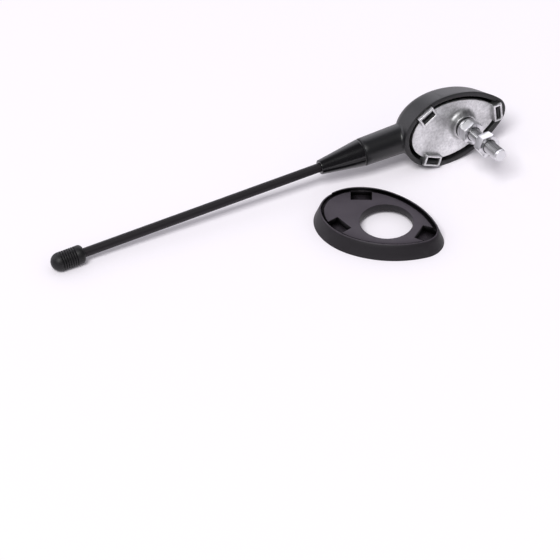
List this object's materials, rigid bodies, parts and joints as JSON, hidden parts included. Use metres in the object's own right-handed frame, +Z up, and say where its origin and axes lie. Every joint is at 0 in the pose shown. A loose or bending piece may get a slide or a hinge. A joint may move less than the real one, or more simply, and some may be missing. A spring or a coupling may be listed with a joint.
{
  "type": "car mast aerial",
  "caption": "Car roof aerial lying on its side: egg-shaped domed base with die-cast plate, fixing stud and nuts, a slim screw-in mast with ribbed end cap, and its loose rubber gasket.",
  "frame": {"origin": "on the floor, at the middle of the footprint of the lying aerial and its gasket", "axes": "+Z up from the floor; +X along the lying mast, from its end cap towards the base; +Y from the side where the stud and the gasket lie to the side of the domed top"},
  "size_m": [0.2964, 0.1, 0.0466],
  "materials": {
    "cover_plastic": "fine moulded grain",
    "foot_plastic": "smooth moulded",
    "nylon": "black moulded",
    "glass_fibre": "drawn rod",
    "cast_alloy": "as die-cast, mottled",
    "zinc_plate": "bright zinc plated",
    "brass": "turned",
    "copper_wire": "enamelled",
    "mast_rubber": "extruded, matte",
    "gasket_rubber": "moulded, matte"
  },
  "bodies": {
    "root": {"cover": "cover_plastic", "base_plate": "cast_alloy", "stud": "zinc_plate", "insulating_bush": "nylon", "insulating_washer": "nylon", "steel_washer": "zinc_plate", "lock_nut": "zinc_plate", "contact_strap": "brass", "strap_screw": "zinc_plate", "mast_socket": "brass", "gasket": "gasket_rubber"},
    "clamp_nut": {"clamp_nut": "zinc_plate"},
    "seal": {"mast_seal": "gasket_rubber"},
    "mast": {"mast_pin": "brass", "mast_core": "glass_fibre", "mast_winding": "copper_wire", "mast_sleeve": "mast_rubber", "mast_foot": "foot_plastic", "mast_cap": "mast_rubber"}
  },
  "joints": [
    {"name": "mast_lift", "type": "slide", "parent": "root", "child": "seal", "axis": [-0.9967, 0.0484, -0.0654], "range_m": [0, 0.0081]},
    {"name": "mast_turn", "type": "hinge", "parent": "seal", "child": "mast", "pos_m": [0.05364, 0.03488, 0.01853], "axis": [-0.9967, 0.0484, -0.0654], "range_deg": [0, 3600]},
    {"name": "clamp_nut_travel", "type": "slide", "parent": "root", "child": "clamp_nut", "axis": [0.0082, 0.9903, -0.1389], "range_m": [-0.0118, 0.0108]}
  ],
  "couplings": [
    {"joint": "mast_lift", "follows": "mast_turn", "m_per_rad": 0.00012732}
  ]
}
